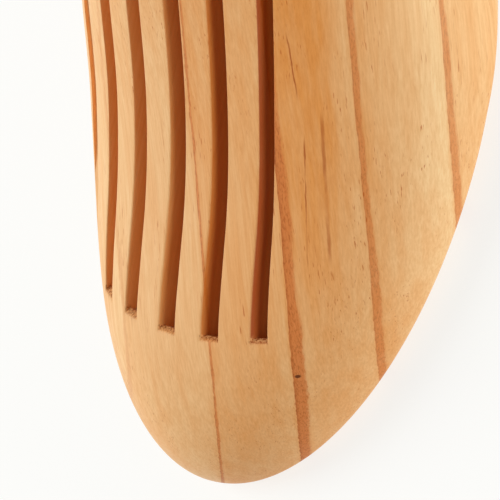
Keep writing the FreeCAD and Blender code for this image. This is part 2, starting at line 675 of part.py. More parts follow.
def main():
    uncut_toe = toe_body()
    pieces = {
        "toe_block": toe_block(uncut_toe),
        "pivot_pin": pivot_pin(),
        "pin_plug_big_toe_side": pin_plug(uncut_toe, -1),
        "pin_plug_little_toe_side": pin_plug(uncut_toe, 1),
        "pivot_washers": pivot_washers(),
        "tongue": tongue(),
        "tongue_pin": tongue_pin(),
        "inner_tube": inner_tube(),
        "rear_bush": rear_bush(),
        "spring": spring(),
        "outer_tube": outer_tube(),
        "front_bush": front_bush(),
        "collar": collar(),
        "stop_screw": stop_screw(),
        "end_plug": end_plug(),
        "guide_rod": guide_rod(),
        "heel_block": heel_block(),
        "ferrule": ferrule(),
        "ferrule_screws": ferrule_screws(),
        "tube_screw": tube_screw(),
        "knob": knob(),
        "knob_washer": knob_washer(),
        "knob_stud": knob_stud(),
    }
    os.makedirs("parts", exist_ok=True)
    for name, shape in pieces.items():
        solids = len(shape.Solids)
        print(name, "solids", solids, "volume", round(shape.Volume, 1), "valid", shape.isValid())
        shape.exportStep(f"parts/{name}.step")


main()
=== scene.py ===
import math
import bmesh
import bpy
import numpy as np
from mathutils import Matrix, Vector


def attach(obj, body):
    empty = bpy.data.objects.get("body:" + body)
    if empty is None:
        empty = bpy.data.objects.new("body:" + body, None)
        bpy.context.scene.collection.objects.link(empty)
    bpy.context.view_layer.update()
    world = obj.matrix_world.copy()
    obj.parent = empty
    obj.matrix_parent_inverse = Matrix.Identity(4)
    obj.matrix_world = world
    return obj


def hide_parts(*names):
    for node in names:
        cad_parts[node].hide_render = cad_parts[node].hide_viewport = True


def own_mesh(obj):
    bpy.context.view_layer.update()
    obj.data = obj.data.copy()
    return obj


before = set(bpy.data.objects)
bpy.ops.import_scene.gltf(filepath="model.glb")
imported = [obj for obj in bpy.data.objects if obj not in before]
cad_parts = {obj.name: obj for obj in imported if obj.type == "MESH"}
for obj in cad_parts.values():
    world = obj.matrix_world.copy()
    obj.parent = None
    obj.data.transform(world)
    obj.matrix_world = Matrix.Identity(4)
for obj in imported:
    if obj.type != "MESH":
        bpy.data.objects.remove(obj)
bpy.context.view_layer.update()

# Sprung shoe stretcher for a left shoe. Metres, +X to the toe, +Y to the little toe's side, +Z up.
MM = 0.001
# Points nearer to each other than this become one, and edges past this angle stay crisp
WELD = 0.0002 * MM
SHARP_ANGLE = math.radians(38.0)

# Toe block outline: stations are distances from the toe tip, half widths are from the ridge line
TOE_LENGTH = 138.0 * MM
BALL_STATION = 73.0 * MM
RIDGE_Y = 4.2 * MM
BIG_TOE_HALF_WIDTH = 45.2 * MM
BIG_TOE_NOSE = 112.0 * MM
LITTLE_TOE_HALF_WIDTH = 46.0 * MM
LITTLE_TOE_NOSE = 68.5 * MM
OUTLINE_POWER = 1.87
REAR_HALF_WIDTH = 33.5 * MM
FEATHER_LEVEL = 4.1 * MM
CROWN_RISE = 21.6 * MM
CROWN_NOSE = 41.0 * MM
INSTEP_RISE = 31.7 * MM
INSTEP_START = 29.6 * MM
INSTEP_RUN = 116.6 * MM
SOLE_DROP = 7.8 * MM
SOLE_NOSE = 45.0 * MM
SOLE_STEEPEST = math.radians(80.0)
END_EASE = 2.5 * MM
# The instep leans a little to the big toe's side, from one station on, and is upright again at the rear
LEAN = 0.04
LEAN_Y = 12.0 * MM
LEAN_START = 60.0 * MM
LEAN_RUN = 22.0 * MM
LEAN_END = 88.0 * MM
LEAN_END_RUN = 26.0 * MM

# Vent slots, counted from the big toe's side; each is sawn a little off the even pitch
SLOT_COUNT = 6
SLOT_PITCH = 9.47 * MM
SLOT_WIDTHS = np.array([4.2, 4.2, 4.3, 4.4, 4.2, 3.6]) * MM
SLOT_SHIFTS = np.array([0.0, 0.0, -0.3, 0.2, 0.3, 0.3]) * MM
SLOT_DEPTH = 10.0 * MM
SLOT_FRONT = 23.0 * MM
SLOT_FRONT_RADIUS = 67.0 * MM
SLOT_FRONT_Y = 10.2 * MM
SLOT_FADE = 38.0 * MM
SLOT_REAR = 104.0 * MM
CRISP_RIM = 0.15 * MM
SOFT_RIM = 0.45 * MM
RIM_CRISPING = 0.8
RIM_CRISP_START = 30.0 * MM
RIM_CRISP_RUN = 30.0 * MM
LIP_LENGTH = 1.35 * MM
LIP_DEPTH = 1.2 * MM
LIP_POWER = 1.5
# Torn wood at the slots' ends: how fast it begins on the lip, how much is left at the top of the end
# wall, how much the rear ends have of it, and how far its points are moved
TEAR_START = 1.6
WALL_TEAR = 0.8
REAR_TEAR = 0.4
TEAR_LIMIT = 0.3
CRUMBLE = 0.04 * MM
CRUMBLE_ALONG = 0.8
CRUMBLE_SEED = 11
# The arc that the slots' ends lie on dies out towards the tip, and slowly along the slots
ARC_MARGIN = 1.5 * MM
ARC_FADE = 60.0 * MM
# The slots' columns draw together from this far in front of their ends
DRAW_IN_GAP = 1.2 * MM

# Rows along the toe block's skin and points across it; the first row is a share of the way from the
# tip, the spread is where the rows of a slot's end lie on the lands, no limit is deeper than any slot
FIRST_ROW = 0.03
TIP_ROWS = 46
SLOT_ROWS = 120
TAIL_ROWS = 28
LIP_ROWS = 8
END_WALL_ROWS = 5
END_SPREAD = (-0.1 * MM, 1.6 * MM)
ROW_GAP = 2.0 * MM
TIP_GAP = 0.35 * MM
NO_LIMIT = 1.0
RIM_POINTS = 6
WALL_POINTS = 7
FLOOR_POINTS = 8
LAND_POINTS = 6
LOWER_FLANK_POINTS = 11
UPPER_FLANK_POINTS = 29
SOLE_POINTS = 24
BEND_POINTS = 7

# Hinge mortise in the toe block's rear
MORTISE_HALF_WIDTH = 4.2 * MM
MORTISE_FLOOR = 22.9 * MM
MORTISE_ROOF = 44.85 * MM
MORTISE_DEPTH = 23.0 * MM
# Shares of the way across the rear face, into the mortise, and in from its walls on its end
REAR_FACE_STEPS = (0.35, 0.7, 1.0)
MORTISE_STEPS = (0.5, 1.0)
POCKET_RING = 0.4
SOLE_LIMIT = 0.01 * MM

# Hinge pin's wooden plugs
PIVOT_X = -50.0 * MM
TUBE_HEIGHT = 30.0 * MM
PLUG_RADIUS = 3.0 * MM
PLUG_STANDS_PROUD = 0.12 * MM
PLUG_DEPTH = 2.0 * MM
PLUG_POINTS = 48
# Rings of a plug's face and of its rim: shares of its radius, and of what it stands proud
PLUG_FACE = np.linspace(0.12, 0.9, 6)
PLUG_RIM = (0.97, 1.0, 1.0)
PLUG_RIM_STANDS = (0.8, 0.2, -PLUG_DEPTH / PLUG_STANDS_PROUD)

# Heel block: stations are distances from its back
HEEL_BACK_X = -205.0 * MM
HEEL_LENGTH = 70.0 * MM
HEEL_HALF_WIDTH = 30.0 * MM
HEEL_NOSE = 42.0 * MM
HEEL_TAPER_START = 40.0 * MM
HEEL_FRONT_HALF_WIDTH = 26.0 * MM
HEEL_LEVEL = 20.0 * MM
HEEL_DROP = 36.0 * MM
HEEL_RISE = 42.0 * MM
HEEL_CROWN = 34.0 * MM
HEEL_HEIGHT = 60.0 * MM
HEEL_EDGE = 0.6 * MM
HEEL_BACK_ROWS = 48
HEEL_RUN_ROWS = 35
HEEL_POINTS = 240
HEEL_FACE_STEPS = (0.7, 0.4)
TUBE_SCREW_X = -183.0 * MM
RECESS_RADIUS = 4.15 * MM
RECESS_DEPTH = 2.2 * MM
RECESS_POINTS = 64

# Spring inside the tubes
SPRING_FRONT_X = -93.1 * MM
SPRING_REAR_X = -175.9 * MM
SPRING_RADIUS = 4.9 * MM
SPRING_WIRE_RADIUS = 0.6 * MM
SPRING_COILS = 16
SPRING_CLOSED_TURNS = 1.5
SPRING_CLOSED_PITCH = 1.04 * 2 * SPRING_WIRE_RADIUS
SPRING_STEPS = 28
SPRING_WIRE_POINTS = 12

# Camera: where the photograph looks, how it is turned, in radians, and how wide it sees
VIEW_POINT = Vector((32.93, 17.35, 19.95)) * MM
VIEW_TILT = math.radians(45.0)
VIEW_ROLL = 0.196
VIEW_WIDTH = 85.0 * MM
LENS = 1200.0
SENSOR = 36.0
VIEW_FAR_END = 100.0

# Studio: a glowing pale floor just under the soles, pale surroundings and two softboxes
FLOOR_HALF = 40.0
FLOOR_GAP = 0.2 * MM
FLOOR_TONES = ((0.18, 0.18, 0.18, 1.0), (0.20, 0.20, 0.20, 1.0))
FLOOR_GLOW = (1.0, 1.0, 0.975, 1.0)
FLOOR_GLOW_STRENGTH = 0.78
SURROUNDINGS = (1.0, 1.0, 0.985, 1.0)
SURROUNDINGS_STRENGTH = 0.37
# Each softbox: its place, its width and its power; both face one point
SOFTBOXES = {
    "left_softbox": ((0.1, -1.2, 1.05), 1.2, 19.6),
    "right_softbox": ((-0.7, 1.5, 0.40), 0.6, 11.5),
}
LIT_POINT = (0.0, 0.0, 0.02)


def nose(share, power):
    """Rounded rise: the square root of one less the chosen power of the share still to go."""
    return np.sqrt(1.0 - np.clip(1.0 - share, 0.0, 1.0) ** power)


def ease(share):
    """Smooth step: three times the square less twice the cube of the clipped share."""
    share = np.clip(share, 0.0, 1.0)
    return share * share * (3.0 - 2.0 * share)


def full_circle(count):
    """Angles of a full turn in even steps, without its last point, which is its first."""
    return np.linspace(0, 2 * np.pi, count + 1)[:-1]


def toe_widths(station):
    """Half widths on the big toe's and the little toe's side: noses that blend into the rear's width."""
    waist = ease((station - BALL_STATION) / (TOE_LENGTH - BALL_STATION))
    big = BIG_TOE_HALF_WIDTH * nose(station / BIG_TOE_NOSE, OUTLINE_POWER)
    little = LITTLE_TOE_HALF_WIDTH * nose(station / LITTLE_TOE_NOSE, OUTLINE_POWER)
    big = big + waist * (REAR_HALF_WIDTH + RIDGE_Y - big)
    little = little + waist * (REAR_HALF_WIDTH - RIDGE_Y - little)
    return big, little


def ridge_rise(station):
    """Height of the ridge over the widest level: a rounded crown and a smooth step up to the instep."""
    crown = CROWN_RISE * nose(station / CROWN_NOSE, 2.0)
    return crown + INSTEP_RISE * ease((station - INSTEP_START) / INSTEP_RUN)


def lean(station):
    """How far the instep leans: a smooth step up and another one down again."""
    return LEAN * ease((station - LEAN_START) / LEAN_RUN) * (1 - ease((station - LEAN_END) / LEAN_END_RUN))


def mesh_object(name, points, rings, closing=()):
    """Mesh from rings of equal count: quads between neighbouring rings, fans to the closing points.

    points holds the rings one after another; closing gives a point for the first and the last ring.
    """
    count = len(points) // rings
    index = np.arange(rings * count).reshape(rings, count)
    ahead = np.roll(index, -1, axis=1)
    quads = np.stack([index[:-1], ahead[:-1], ahead[1:], index[1:]], axis=-1).reshape(-1, 4)
    faces = quads.tolist()
    points = np.vstack([points] + [np.reshape(point, (1, 3)) for point in closing])
    for number, ring in zip(range(len(closing)), (0, rings - 1)):
        centre = np.full(count, rings * count + number)
        fan = np.stack([ahead[ring], index[ring], centre], axis=-1)
        faces += (fan if ring == 0 else fan[:, ::-1]).tolist()
    mesh = bpy.data.meshes.new(name)
    mesh.from_pydata(points.tolist(), [], faces)
    mesh.update()
    turn_outward(mesh)
    mesh.shade_smooth()
    mesh.set_sharp_from_angle(angle=SHARP_ANGLE)
    piece = bpy.data.objects.new(name, mesh)
    bpy.context.scene.collection.objects.link(piece)
    return piece


def turn_outward(mesh):
    """Flip the faces if the volume they enclose, summed as tetrahedra to the origin, is negative."""
    mesh.calc_loop_triangles()
    corners = np.empty(len(mesh.loop_triangles) * 3, dtype=np.int64)
    mesh.loop_triangles.foreach_get("vertices", corners)
    places = np.empty(len(mesh.vertices) * 3)
    mesh.vertices.foreach_get("co", places)
    a, b, c = np.moveaxis(places.reshape(-1, 3)[corners.reshape(-1, 3)], 1, 0)
    if np.einsum("ij,ij->i", a, np.cross(b, c)).sum() < 0:
        mesh.flip_normals()


def weld(piece):
    """Join points that lie together, so that walls without any height leave no empty faces behind."""
    shell = bmesh.new()
    shell.from_mesh(piece.data)
    bmesh.ops.remove_doubles(shell, verts=shell.verts, dist=WELD)
    bmesh.ops.dissolve_degenerate(shell, dist=WELD, edges=shell.edges)
    shell.to_mesh(piece.data)
    shell.free()
    piece.data.set_sharp_from_angle(angle=SHARP_ANGLE)


def set_attribute(piece, name, values):
    """Store one number per vertex for the material."""
    layer = piece.data.attributes.new(name, "FLOAT", "POINT")
    padded = np.zeros(len(piece.data.vertices))
    padded[:len(values)] = values
    layer.data.foreach_set("value", padded)


def slot_columns():
    """Columns across the slots and lands, from the little toe's side to the other.

    Returns each column's y, the drop of its rounded rim, its share of the wall below the rim,
    and how far it belongs to a slot: 0 on a land, 1 on a wall or floor. The rims are quarter circles
    inside the slot's width, crisp on the little toe's side and softer on the big toe's.
    """
    angles = np.radians(np.linspace(0.0, 90.0, RIM_POINTS))
    wall = np.linspace(0.0, 1.0, WALL_POINTS + 1)[1:]
    on_rim, on_wall, on_floor, on_land = map(np.zeros, (RIM_POINTS, WALL_POINTS, FLOOR_POINTS, LAND_POINTS))
    centres = (np.arange(SLOT_COUNT) - (SLOT_COUNT - 1) / 2) * SLOT_PITCH + SLOT_SHIFTS
    edges = np.column_stack([centres - SLOT_WIDTHS / 2, centres + SLOT_WIDTHS / 2])
    columns = []
    for slot in reversed(range(SLOT_COUNT)):
        first = edges[slot, 1] - CRISP_RIM
        last = edges[slot, 0] + SOFT_RIM
        crisp = first + CRISP_RIM * (1 - np.sin(angles))
        soft = last - SOFT_RIM * (1 - np.sin(angles[::-1]))
        floor = np.linspace(first, last, FLOOR_POINTS + 2)[1:-1]
        y = [crisp, on_wall + first, floor, on_wall + last, soft]
        rim = [CRISP_RIM * (1 - np.cos(angles)), on_wall + CRISP_RIM, on_floor + CRISP_RIM,
               on_wall + SOFT_RIM, SOFT_RIM * (1 - np.cos(angles[::-1]))]
        share = [on_rim, wall, on_floor + 1, wall[::-1], on_rim]
        member = [np.sin(angles), on_wall + 1, on_floor + 1, on_wall + 1, np.sin(angles[::-1])]
        columns.append([np.concatenate(part) for part in (y, rim, share, member)])
        if slot:
            land = np.linspace(edges[slot, 0], edges[slot - 1, 1], LAND_POINTS + 2)[1:-1]
            columns.append([land, on_land, on_land, on_land])
    return [np.concatenate(part) for part in zip(*columns)]


def slot_front(y):
    """Station where the slot at y ends: a shallow arc, and the outermost slot fades out further back.

    The change between the two lies on the land beside that slot.
    """
    arc = SLOT_FRONT + (y - SLOT_FRONT_Y) ** 2 / (2 * SLOT_FRONT_RADIUS)
    outermost = -(SLOT_COUNT - 1) / 2 * SLOT_PITCH
    fading = ease((outermost + 0.75 * SLOT_PITCH - y) / (SLOT_PITCH / 4))
    return arc + fading * (SLOT_FADE - arc)


def toe_rows():
    """Rows along the toe block: station on the lands, station in the slots, the slots' drop limit, and
    how far the row lies on the torn lip at a slot's end.

    Rows are close at the tip and spaced evenly along the slots. At each end of the slots they slope
    down a short lip, then drop down the end wall.
    """
    lip = np.linspace(0.0, 1.0, LIP_ROWS + 1)[1:]
    wall = np.linspace(0.0, 1.0, END_WALL_ROWS + 1)[1:]
    end_way = LIP_LENGTH * np.concatenate([lip, np.ones(END_WALL_ROWS)])
    wall_drop = LIP_DEPTH + (SLOT_DEPTH - LIP_DEPTH) * wall ** 2
    end_drop = np.concatenate([LIP_DEPTH * lip ** LIP_POWER, wall_drop])
    end_drop[-1] = NO_LIMIT
    end_torn = np.concatenate([np.minimum(TEAR_START * lip, 1.0), WALL_TEAR * (1 - wall)])
    spread = np.linspace(*END_SPREAD, len(end_way))
    tip = (np.linspace(FIRST_ROW, 1.0, TIP_ROWS) ** 2) * (SLOT_FRONT - TIP_GAP)
    middle = np.linspace(SLOT_FRONT + ROW_GAP, SLOT_REAR - ROW_GAP, SLOT_ROWS)
    tail = np.linspace(SLOT_REAR + 0.4 * ROW_GAP, TOE_LENGTH - END_EASE - 0.25 * ROW_GAP, TAIL_ROWS)
    land = np.concatenate([tip, SLOT_FRONT + spread, middle, (SLOT_REAR - spread)[::-1], tail])
    slot = np.concatenate([tip, SLOT_FRONT + end_way, middle, (SLOT_REAR - end_way)[::-1], tail])
    on_tip, on_middle, on_tail = map(np.zeros, (TIP_ROWS, SLOT_ROWS, TAIL_ROWS))
    limit = np.concatenate([on_tip, end_drop, on_middle + NO_LIMIT, end_drop[::-1], on_tail])
    torn = np.concatenate([on_tip, end_torn, on_middle, REAR_TEAR * end_torn[::-1], on_tail])
    return land, slot, limit, torn


def toe_block():
    """Toe block skin: quarter-ellipse sections on a flat sole, with the slots pressed into the rows.

    Each row is a section at its station: the sole, the lower quarter ellipses, the upper ones, and
    between them the slot columns at a fixed y. Towards the tip those columns draw together in
    proportion to the width. A slot column's height is the skin's height less the smallest of its own
    drop, the row's limit and the depth to the slot's floor, which runs parallel to the ridge.
    On the torn lips the points are moved a little at random, alike where columns lie together.
    The lean lifts a point by its distance from an upright line times its share of the ridge's rise.
    The rear rows round the end, run in to the mortise's mouth and line the mortise.
    """
    y0, rim, share, member = slot_columns()
    land, slot, limit, torn = toe_rows()
    reach = slot_front(y0) - SLOT_FRONT
    shift = ease(land / (SLOT_FRONT - ARC_MARGIN)) * (1 - ease((land - SLOT_FRONT - ARC_MARGIN) / ARC_FADE))
    base = land[:, None] + member * (slot - land)[:, None]
    station = base + reach * shift[:, None]
    line = np.unique(np.round(y0 / WELD), return_inverse=True)[1]
    crumbs = np.random.default_rng(CRUMBLE_SEED).normal(size=(2, len(land), line.max() + 1))
    crumbs = crumbs[:, :, line]
    on_lip = torn[:, None] * np.where(member > TEAR_LIMIT, member, 0)
    on_slope = on_lip * (limit < LIP_DEPTH)[:, None]
    station = station + CRUMBLE_ALONG * CRUMBLE * crumbs[0] * on_slope

    offset = y0 - RIDGE_Y
    home = slot_front(y0) - DRAW_IN_GAP
    big, little = toe_widths(station)
    home_big, home_little = toe_widths(home)
    draw_in = np.where(offset < 0, big / home_big, little / home_little)
    offset = offset * np.minimum(np.where(station < home, draw_in, 1.0), 1.0)
    half = np.where(offset < 0, big, little)
    rise = ridge_rise(station)
    skin = rise * np.sqrt(np.clip(1 - (offset / half) ** 2, 0, 1))
    depth = np.maximum(skin - (rise - SLOT_DEPTH), 0)
    crisp = 1 - RIM_CRISPING * ease((station - RIM_CRISP_START) / RIM_CRISP_RUN)
    drop = rim * crisp + share * np.maximum(depth - rim * crisp, 0)
    crumbled = np.maximum(limit[:, None] + CRUMBLE * crumbs[1] * on_lip, 0)
    drop = np.minimum(np.minimum(drop, crumbled), depth)
    slots_y = RIDGE_Y + offset
    slots_z = FEATHER_LEVEL + skin - drop

    edge_station = land[:, None] + reach[[0, -1]] * shift[:, None]
    left = toe_side(edge_station[:, :1], slots_y[:, :1] - RIDGE_Y, +1)
    right = toe_side(edge_station[:, 1:], slots_y[:, -1:] - RIDGE_Y, -1)
    right = [part[:, ::-1] for part in right]
    across = np.linspace(0, 1, SOLE_POINTS + 2)[1:-1]
    sole = [end[:, -1:] + (start[:, :1] - end[:, -1:]) * across for start, end in zip(left, right)]
    stations = np.hstack([left[0], station, right[0], sole[0]])
    ys = np.hstack([left[1], slots_y, right[1], sole[1]])
    zs = np.hstack([left[2], slots_z, right[2], sole[2]])
    risen = np.clip((zs - FEATHER_LEVEL) / ridge_rise(stations), 0, 1)
    zs = zs + lean(stations) * (LEAN_Y - ys) * risen
    body = np.stack([BALL_STATION - stations, ys, zs], axis=-1)

    rear = rear_rings(body[-1])
    rings = np.concatenate([body, rear])
    tip = (BALL_STATION, RIDGE_Y, FEATHER_LEVEL)
    pocket_end = rear[-1].mean(axis=0)
    piece = mesh_object("toe_block_skin", rings.reshape(-1, 3), len(rings), (tip, pocket_end))
    inside = np.zeros(ys.shape)
    columns = slice(left[1].shape[1], left[1].shape[1] + len(y0))
    inside[:, columns] = np.clip(drop / SAWN_DEPTH, 0, 1)
    frayed = np.zeros(ys.shape)
    frayed[:, columns] = on_lip * ease(depth / LIP_DEPTH)
    set_attribute(piece, "slot_depth", inside.ravel())
    set_attribute(piece, "torn_end", frayed.ravel())
    weld(piece)
    return piece


def toe_side(station, edge, side):
    """One flank: from the sole's edge up the lower quarter ellipse, then the upper one to the slots' edge.

    edge is the slot columns' outermost offset from the ridge; side is +1 on the little toe's side.
    """
    big, little = toe_widths(station)
    half = little if side > 0 else big
    rise = ridge_rise(station)
    drop = SOLE_DROP * nose(station / SOLE_NOSE, 2.0)
    lowest = np.arcsin(np.minimum(FEATHER_LEVEL / drop, math.sin(SOLE_STEEPEST)))
    highest = np.arccos(np.clip(np.abs(edge) / half, 0, 1))
    below = lowest * np.linspace(1, 0, LOWER_FLANK_POINTS + 1)[:-1]
    above = highest * np.linspace(0, 1, UPPER_FLANK_POINTS + 1)[:-1]
    y = RIDGE_Y + side * half * np.hstack([np.cos(below), np.cos(above)])
    z = FEATHER_LEVEL + np.hstack([-drop * np.sin(below), rise * np.sin(above)])
    return [np.broadcast_to(station, y.shape), y, z]


def rear_rings(outline):
    """Rings that round the rear edge, cross the rear face to the mortise's mouth and line the mortise.

    The rounded edge shrinks the last section towards the mortise by a quarter circle. The mouth's
    ring meets the rectangle where the line from its middle to each outline point crosses it.
    """
    centre = np.array([0.0, (MORTISE_FLOOR + MORTISE_ROOF) / 2])
    half = np.array([MORTISE_HALF_WIDTH, (MORTISE_ROOF - MORTISE_FLOOR) / 2])
    way = outline[:, 1:] - centre
    length = np.linalg.norm(way, axis=1, keepdims=True)
    mouth = centre + way / np.max(np.abs(way) / half, axis=1, keepdims=True)
    for corner in ((-1, -1), (-1, 1), (1, -1), (1, 1)):
        place = centre + half * corner
        mouth[np.argmin(np.linalg.norm(mouth - place, axis=1))] = place
    angles = np.radians(np.linspace(0, 90, BEND_POINTS))
    start_x = BALL_STATION - TOE_LENGTH + END_EASE
    on_sole = outline[:, 2] < SOLE_LIMIT
    rings = []
    for angle in angles:
        inset = END_EASE * (1 - math.cos(angle)) * np.where(on_sole, 0, 1)[:, None]
        rings.append((start_x - END_EASE * math.sin(angle), outline[:, 1:] - way / length * inset))
    last = rings[-1][1]
    rear_x = start_x - END_EASE
    rings += [(rear_x, last + (mouth - last) * step) for step in REAR_FACE_STEPS]
    rings += [(rear_x + MORTISE_DEPTH * step, mouth) for step in MORTISE_STEPS]
    rings.append((rear_x + MORTISE_DEPTH, centre + (mouth - centre) * POCKET_RING))
    return np.stack([np.column_stack([np.full(len(flat), x), flat]) for x, flat in rings])


def plug_skin(name, side):
    """Plug over the hinge pin: a disc carried out to the toe block's flank, a little proud, edge rounded.

    A disc point's radius runs from the middle to the edge and its angle round; its y is where the flank
    lies at that x and z. The rim's last ring lies inside the block, and a fan closes the plug there.
    """
    share = np.concatenate([PLUG_FACE, PLUG_RIM])[:, None]
    proud = np.concatenate([np.ones(len(PLUG_FACE)), PLUG_RIM_STANDS])[:, None]
    angle = full_circle(PLUG_POINTS)

    def flank(radius, stand):
        x = PIVOT_X + radius * np.cos(angle)
        z = TUBE_HEIGHT + radius * np.sin(angle)
        station = BALL_STATION - x
        big, little = toe_widths(station)
        half = little if side > 0 else big
        width = half * np.sqrt(1 - ((z - FEATHER_LEVEL) / ridge_rise(station)) ** 2)
        return np.stack([x, RIDGE_Y + side * (width + stand), z], axis=-1)

    rings = flank(PLUG_RADIUS * share, PLUG_STANDS_PROUD * proud)
    front = flank(np.zeros((1, 1)), PLUG_STANDS_PROUD)[0, 0]
    back = rings[-1].mean(axis=0)
    return mesh_object(name, rings.reshape(-1, 3), len(rings), (front, back))


def heel_block():
    """Heel block skin: half-ellipse sections that swell from the back, flattened under and on top.

    Each section's height is worked out from an angle round the level of its widest part. A soft
    maximum with the floor and a soft minimum with the top flatten it and round those edges. The last
    rows round the front edge by a quarter circle, and two more cross the front face.
    """
    start = (np.linspace(FIRST_ROW, 1.0, HEEL_BACK_ROWS) ** 2) * HEEL_CROWN
    run = np.linspace(HEEL_CROWN, HEEL_LENGTH - END_EASE, HEEL_RUN_ROWS + 1)[1:]
    angle = full_circle(HEEL_POINTS)
    bend = np.radians(np.linspace(0, 90, BEND_POINTS + 1))[1:]
    station = np.concatenate([start, run, HEEL_LENGTH - END_EASE * (1 - np.sin(bend))])[:, None]
    inset = np.concatenate([np.zeros(len(start) + len(run)), END_EASE * (1 - np.cos(bend))])[:, None]
    side = HEEL_HALF_WIDTH * nose(station / HEEL_NOSE, 2.0)
    taper = ease((station - HEEL_TAPER_START) / (HEEL_LENGTH - HEEL_TAPER_START))
    side = side + taper * (HEEL_FRONT_HALF_WIDTH - side)
    swell = nose(station / HEEL_CROWN, 2.0)
    height = np.where(np.sin(angle) > 0, HEEL_RISE, HEEL_DROP) * swell * np.sin(angle)
    z = HEEL_LEVEL + height - inset * np.maximum(np.sin(angle), 0)
    z = HEEL_EDGE * np.logaddexp(0, z / HEEL_EDGE)
    top = HEEL_HEIGHT - inset
    z = top - HEEL_EDGE * np.logaddexp(0, (top - z) / HEEL_EDGE)
    y = (side - inset) * np.cos(angle)
    x = HEEL_BACK_X + np.broadcast_to(station, y.shape)
    rows = np.stack([x, y, z], axis=-1)
    middle = np.array([HEEL_BACK_X + HEEL_LENGTH, 0.0, TUBE_HEIGHT])
    face = [middle + (rows[-1] - middle) * share for share in HEEL_FACE_STEPS]
    rings = np.concatenate([rows, face])
    tip = (HEEL_BACK_X, 0.0, HEEL_LEVEL)
    piece = mesh_object("heel_block_skin", rings.reshape(-1, 3), len(rings), (tip, middle))
    sink_screw_recess(piece)
    return piece


def sink_screw_recess(piece):
    """Take a shallow round recess for the tube screw out of the sole.

    The volume taken away is a circle carried straight up, from just under the sole to the recess's depth.
    """
    angle = full_circle(RECESS_POINTS)
    circle = np.column_stack([TUBE_SCREW_X + RECESS_RADIUS * np.cos(angle), RECESS_RADIUS * np.sin(angle)])
    levels = (-RECESS_DEPTH, RECESS_DEPTH)
    rings = [np.column_stack([circle, np.full(len(circle), level)]) for level in levels]
    ends = [(TUBE_SCREW_X, 0.0, level) for level in levels]
    cutter = mesh_object("recess_cutter", np.vstack(rings), len(rings), ends)
    cut = piece.modifiers.new("recess", "BOOLEAN")
    cut.operation = "DIFFERENCE"
    cut.solver = "EXACT"
    cut.object = cutter
    ready = piece.evaluated_get(bpy.context.evaluated_depsgraph_get())
    recessed = bpy.data.meshes.new_from_object(ready)
    piece.modifiers.clear()
    piece.data = recessed
    bpy.data.objects.remove(cutter)
    weld(piece)


def spring_coil():
    """Compression spring: a round wire carried along a helix whose end turns lie close together.

    The helix's angle runs evenly along the wire; its place along the tube is the angle's share of the
    length, with the closed turns at a wire's pitch.
    """
    turns = SPRING_COILS + 2 * SPRING_CLOSED_TURNS
    turn = np.linspace(0, turns, int(turns * SPRING_STEPS))
    knots = (0, SPRING_CLOSED_TURNS, turns - SPRING_CLOSED_TURNS, turns)
    closed = SPRING_CLOSED_TURNS * SPRING_CLOSED_PITCH
    first = SPRING_FRONT_X - SPRING_WIRE_RADIUS
    last = SPRING_REAR_X + SPRING_WIRE_RADIUS
    x = np.interp(turn, knots, (first, first - closed, last + closed, last))
    angle = 2 * np.pi * turn[:, None]
    round_wire = full_circle(SPRING_WIRE_POINTS)
    reach = SPRING_RADIUS + SPRING_WIRE_RADIUS * np.cos(round_wire)
    y = reach * np.cos(angle)
    z = TUBE_HEIGHT + reach * np.sin(angle)
    along = x[:, None] + SPRING_WIRE_RADIUS * np.sin(round_wire) + 0 * angle
    rings = np.stack([along, y, z], axis=-1)
    ends = (rings[0].mean(axis=0), rings[-1].mean(axis=0))
    return mesh_object("spring_coil", rings.reshape(-1, 3), len(rings), ends)


class Graph:
    """Adds nodes to a tree; an input is a plain value or another node's output."""

    def __init__(self, tree):
        self.tree = tree

    def feed(self, node, inputs):
        """Link each output to its socket, or set the plain value on it."""
        for key, value in inputs.items():
            if isinstance(value, bpy.types.NodeSocket):
                self.tree.links.new(value, node.inputs[key])
            else:
                node.inputs[key].default_value = value

    def add(self, kind, inputs=None, **settings):
        """New node with its settings and inputs."""
        node = self.tree.nodes.new(kind)
        for name, value in settings.items():
            setattr(node, name, value)
        self.feed(node, inputs or {})
        return node

    def math(self, operation, first, second=0.0, third=0.0):
        return self.add("ShaderNodeMath", {0: first, 1: second, 2: third}, operation=operation).outputs[0]

    def plus(self, first, second):
        return self.math("ADD", first, second)

    def times(self, first, second):
        return self.math("MULTIPLY", first, second)

    def dot(self, vector, direction):
        node = self.add("ShaderNodeVectorMath", {0: vector, 1: direction}, operation="DOT_PRODUCT")
        return node.outputs["Value"]

    def combine(self, x, y, z):
        return self.add("ShaderNodeCombineXYZ", {0: x, 1: y, 2: z}).outputs[0]

    def noise(self, vector, detail=2.0, rough=0.5, scale=1.0):
        inputs = {"Vector": vector, "Scale": scale, "Detail": detail, "Roughness": rough}
        return self.add("ShaderNodeTexNoise", inputs).outputs[0]

    def stretched_noise(self, vector, scales, detail=2.0):
        """Noise with its own scale along x, y and z."""
        stretched = self.add("ShaderNodeVectorMath", {0: vector, 1: scales}, operation="MULTIPLY")
        return self.noise(stretched.outputs[0], detail)

    def attribute(self, name):
        return self.add("ShaderNodeAttribute", attribute_name=name).outputs["Fac"]

    def span(self, value, low, high, to_low=0.0, to_high=1.0, way="SMOOTHSTEP"):
        """Carry the value from one range to another, clipped at both ends."""
        inputs = {"Value": value, "From Min": low, "From Max": high, "To Min": to_low, "To Max": to_high}
        return self.add("ShaderNodeMapRange", inputs, interpolation_type=way).outputs[0]

    def clamp(self, value):
        return self.add("ShaderNodeClamp", {0: value}).outputs[0]

    def mix(self, share, first, second, blend="MIX"):
        inputs = {0: share, 6: first, 7: second}
        return self.add("ShaderNodeMix", inputs, data_type="RGBA", blend_type=blend).outputs[2]

    def bump(self, height, strength, distance):
        inputs = {"Height": height, "Strength": strength, "Distance": distance}
        return self.add("ShaderNodeBump", inputs).outputs[0]


